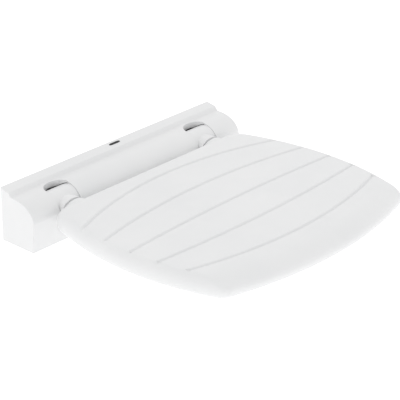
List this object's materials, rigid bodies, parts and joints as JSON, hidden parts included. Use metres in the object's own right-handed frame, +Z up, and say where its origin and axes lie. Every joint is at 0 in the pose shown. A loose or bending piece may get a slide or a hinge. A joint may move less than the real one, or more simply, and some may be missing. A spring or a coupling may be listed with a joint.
{
  "type": "fold-up shower seat",
  "caption": "Wall-mounted fold-up shower seat: a slim wall casing with a hinge, and a bowed white moulded seat with curved drainage grooves.",
  "frame": {"origin": "centre of the four wall-fixing holes, on the wall plane", "axes": "+X along the casing, to the right of someone facing the wall; +Y into the wall; +Z up"},
  "size_m": [0.414, 0.3915, 0.0778],
  "materials": {
    "casing_plastic": "satin white moulded plastic",
    "knuckle_plastic": "satin white moulded plastic",
    "seat_plastic": "fine-grained white moulded plastic",
    "brushed_steel": "brushed stainless steel",
    "bright_steel": "turned stainless steel",
    "cast_aluminium": "blasted casting",
    "acetal": "natural acetal",
    "rubber": "moulded rubber"
  },
  "bodies": {
    "wall_unit": {"wall_plate": "brushed_steel", "left_hinge_bracket": "brushed_steel", "right_hinge_bracket": "brushed_steel", "bracket_screws": "bright_steel", "left_stop_pad": "rubber", "right_stop_pad": "rubber", "left_hinge_pin": "bright_steel", "right_hinge_pin": "bright_steel", "pin_retaining_rings": "bright_steel", "hinge_washers": "acetal", "casing_cover": "casing_plastic", "left_end_cap": "casing_plastic", "right_end_cap": "casing_plastic", "cover_screws": "bright_steel"},
    "seat": {"left_arm": "cast_aluminium", "right_arm": "cast_aluminium", "left_arm_bushes": "acetal", "right_arm_bushes": "acetal", "left_knuckle_cover": "knuckle_plastic", "left_knuckle_undercover": "knuckle_plastic", "right_knuckle_cover": "knuckle_plastic", "right_knuckle_undercover": "knuckle_plastic", "rear_rail": "brushed_steel", "front_rail": "brushed_steel", "rail_screws": "bright_steel", "seat_top": "seat_plastic", "seat_base": "seat_plastic", "seat_screws": "bright_steel", "screw_plugs": "seat_plastic"}
  },
  "joints": [
    {"name": "seat_fold", "type": "hinge", "parent": "wall_unit", "child": "seat", "pos_m": [0, -0.038, 0.005], "axis": [-1, 0, 0], "range_deg": [0, 90]}
  ]
}
